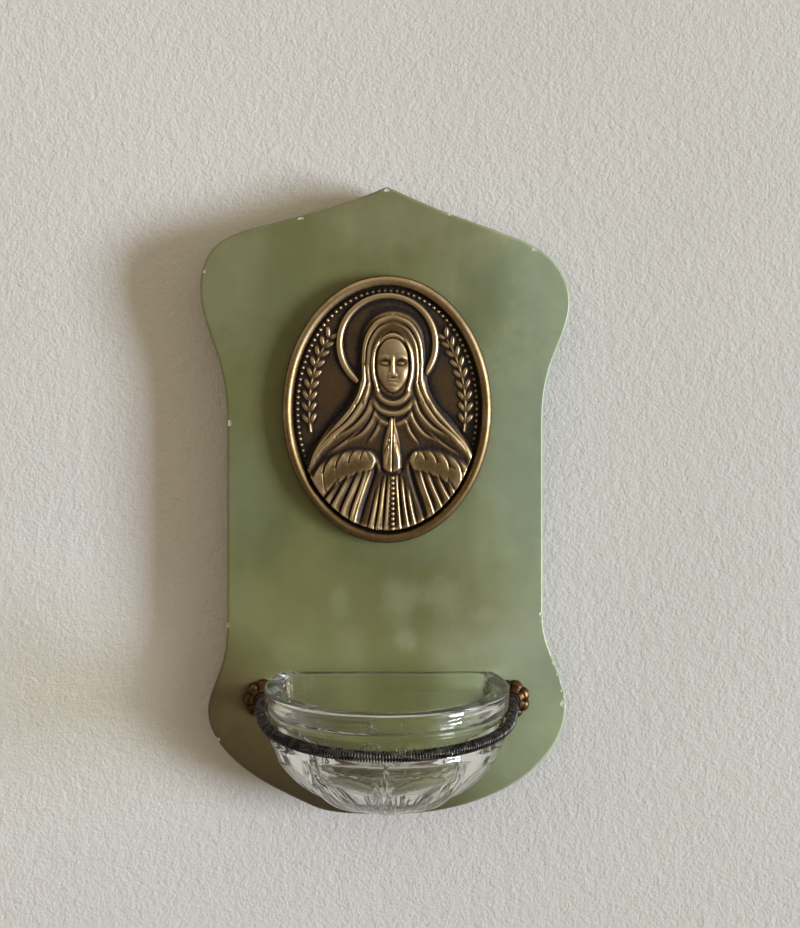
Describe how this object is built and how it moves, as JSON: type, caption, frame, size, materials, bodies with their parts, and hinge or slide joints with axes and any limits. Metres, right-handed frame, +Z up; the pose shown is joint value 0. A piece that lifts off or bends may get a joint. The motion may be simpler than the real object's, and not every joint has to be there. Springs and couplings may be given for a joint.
{
  "type": "holy water stoup",
  "caption": "Wall-hung holy water stoup: ogee-topped onyx plaque, oval relief medallion, half-round glass bowl held by a coil spring between rosettes.",
  "frame": {"origin": "centre of the round nail entry in the hanger's keyhole, on the wall plane", "axes": "+Z up, +Y into the wall, +X to the right of a viewer who faces the plaque"},
  "size_m": [0.107, 0.0655, 0.181],
  "materials": {
    "onyx": "polished green onyx, cloudy and slightly translucent",
    "bronze": "cast bronze, dark patina in the hollows and rubbed bright on the high relief",
    "glass": "clear pressed glass, fire-polished",
    "spring_steel": "dark blued spring wire",
    "cast_brass": "cast brass, brown lacquer worn to gold on the petals",
    "brass_hardware": "turned brass, dull",
    "felt": "pressed wool felt"
  },
  "bodies": {
    "root": {"onyx_plaque": "onyx", "medallion": "bronze", "hanger_plate": "brass_hardware", "medallion_stud_upper": "brass_hardware", "medallion_washer_upper": "brass_hardware", "medallion_nut_upper": "brass_hardware", "medallion_stud_lower": "brass_hardware", "medallion_washer_lower": "brass_hardware", "medallion_nut_lower": "brass_hardware", "post_left": "brass_hardware", "rosette_left": "cast_brass", "post_washer_left": "brass_hardware", "post_nut_left": "brass_hardware", "pad_upper_left": "felt", "pad_lower_left": "felt", "post_right": "brass_hardware", "rosette_right": "cast_brass", "post_washer_right": "brass_hardware", "post_nut_right": "brass_hardware", "pad_upper_right": "felt", "pad_lower_right": "felt"},
    "bowl": {"glass_bowl": "glass"},
    "spring": {"retaining_spring": "spring_steel"}
  },
  "joints": [
    {"name": "bowl_lift", "type": "slide", "parent": "root", "child": "bowl", "axis": [0, -0.5, 0.866], "range_m": [0, 0.12]},
    {"name": "spring_drop", "type": "hinge", "parent": "root", "child": "spring", "pos_m": [0, -0.0217, -0.1253], "axis": [1, 0, 0], "range_deg": [0, 80], "deforming": ["retaining_spring"]}
  ],
  "couplings": [
    {"joint": "spring_drop", "follows": "bowl_lift", "rad_per_m": 11.6}
  ]
}
